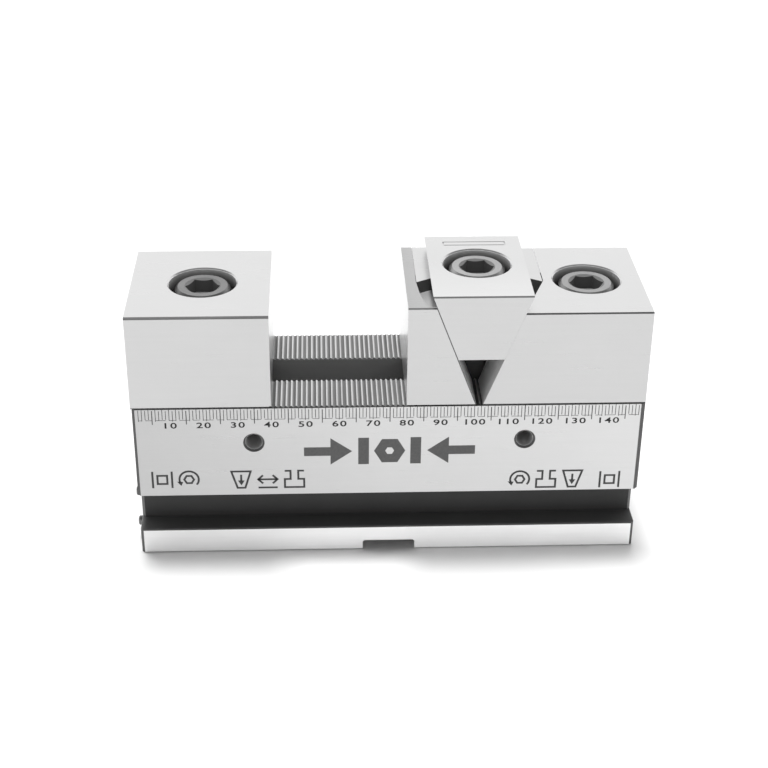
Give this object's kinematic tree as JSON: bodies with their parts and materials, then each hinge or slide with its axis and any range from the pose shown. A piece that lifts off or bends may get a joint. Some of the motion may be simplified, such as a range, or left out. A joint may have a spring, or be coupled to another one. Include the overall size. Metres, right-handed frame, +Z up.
{
  "type": "machine vise",
  "caption": "Modular machine vise: serrated T-slot rail with side clamping grooves, a bolted fixed jaw, and a screw-drawn wedge between a bolted block and a movable jaw.",
  "frame": {"origin": "centre of the rail's underside, in the mouth of the cross key slot", "axes": "+X along the rail from the fixed jaw to the wedge block, +Y to the back away from the scale, +Z up"},
  "size_m": [0.1533, 0.0464, 0.0863],
  "materials": {
    "rail_steel": "ground, with black recesses",
    "jaw_steel": "fine ground",
    "wedge_steel": "fine ground",
    "black_steel": "black oxide",
    "screw_steel": "turned, lightly oiled",
    "small_screw_steel": "black oxide",
    "pin_steel": "ground"
  },
  "bodies": {
    "rail": {"rail": "rail_steel", "joining_dowels": "pin_steel"},
    "fixed_jaw": {"fixed_jaw": "jaw_steel", "fixed_jaw_keys": "black_steel", "fixed_jaw_key_screws": "small_screw_steel", "fixed_jaw_washer": "black_steel"},
    "fixed_jaw_screw": {"fixed_jaw_screw": "screw_steel"},
    "fixed_jaw_nut": {"fixed_jaw_nut": "black_steel"},
    "wedge_block": {"wedge_block": "jaw_steel", "block_keys": "black_steel", "block_key_screws": "small_screw_steel", "block_washer": "black_steel"},
    "block_screw": {"block_screw": "screw_steel"},
    "block_nut": {"block_nut": "black_steel"},
    "wedge": {"wedge": "wedge_steel", "left_wedge_key": "wedge_steel", "right_wedge_key": "wedge_steel", "wedge_key_screws": "small_screw_steel", "wedge_washer": "black_steel"},
    "wedge_screw": {"wedge_screw": "screw_steel", "wedge_collar": "black_steel", "collar_pin": "pin_steel"},
    "wedge_nut": {"wedge_nut": "black_steel"},
    "movable_jaw": {"movable_jaw": "jaw_steel", "jaw_guide_foot": "black_steel", "jaw_guide_screws": "small_screw_steel"}
  },
  "joints": [
    {"name": "fixed_jaw_shift", "type": "slide", "parent": "rail", "child": "fixed_jaw", "axis": [1, 0, 0], "range_m": [0, 0.018]},
    {"name": "fixed_jaw_screw_turn", "type": "hinge", "parent": "fixed_jaw", "child": "fixed_jaw_screw", "pos_m": [-0.05505, 0, 0.075], "axis": [0, 0, 1], "range_deg": [0, 360]},
    {"name": "fixed_jaw_nut_drop", "type": "slide", "parent": "fixed_jaw", "child": "fixed_jaw_nut", "axis": [0, 0, -1], "range_m": [0, 0.0015]},
    {"name": "wedge_block_shift", "type": "slide", "parent": "rail", "child": "wedge_block", "axis": [1, 0, 0], "range_m": [-0.009, 0]},
    {"name": "block_screw_turn", "type": "hinge", "parent": "wedge_block", "child": "block_screw", "pos_m": [0.05955, 0, 0.075], "axis": [0, 0, 1], "range_deg": [0, 360]},
    {"name": "block_nut_drop", "type": "slide", "parent": "wedge_block", "child": "block_nut", "axis": [0, 0, -1], "range_m": [0, 0.0015]},
    {"name": "wedge_slide", "type": "slide", "parent": "wedge_block", "child": "wedge", "axis": [-0.3584, 0, -0.9336], "range_m": [-0.00161, 0.00482]},
    {"name": "wedge_screw_turn", "type": "hinge", "parent": "wedge", "child": "wedge_screw", "pos_m": [0.02645, 0, 0.08], "axis": [0, 0, -1], "range_deg": [-360, 1080]},
    {"name": "wedge_nut_rise", "type": "slide", "parent": "wedge", "child": "wedge_nut", "axis": [0, 0, 1], "range_m": [-0.00151, 0.00452]},
    {"name": "movable_jaw_slide", "type": "slide", "parent": "wedge", "child": "movable_jaw", "axis": [-0.3584, 0, 0.9336], "range_m": [-0.00161, 0.00483]}
  ],
  "couplings": [
    {"joint": "fixed_jaw_screw_turn", "follows": "fixed_jaw_nut_drop", "rad_per_m": 4188.8},
    {"joint": "block_screw_turn", "follows": "block_nut_drop", "rad_per_m": 4188.8},
    {"joint": "wedge_screw_turn", "follows": "wedge_slide", "rad_per_m": 3910.6},
    {"joint": "wedge_nut_rise", "follows": "wedge_slide", "ratio": 0.93358},
    {"joint": "movable_jaw_slide", "follows": "wedge_slide", "ratio": 1}
  ]
}
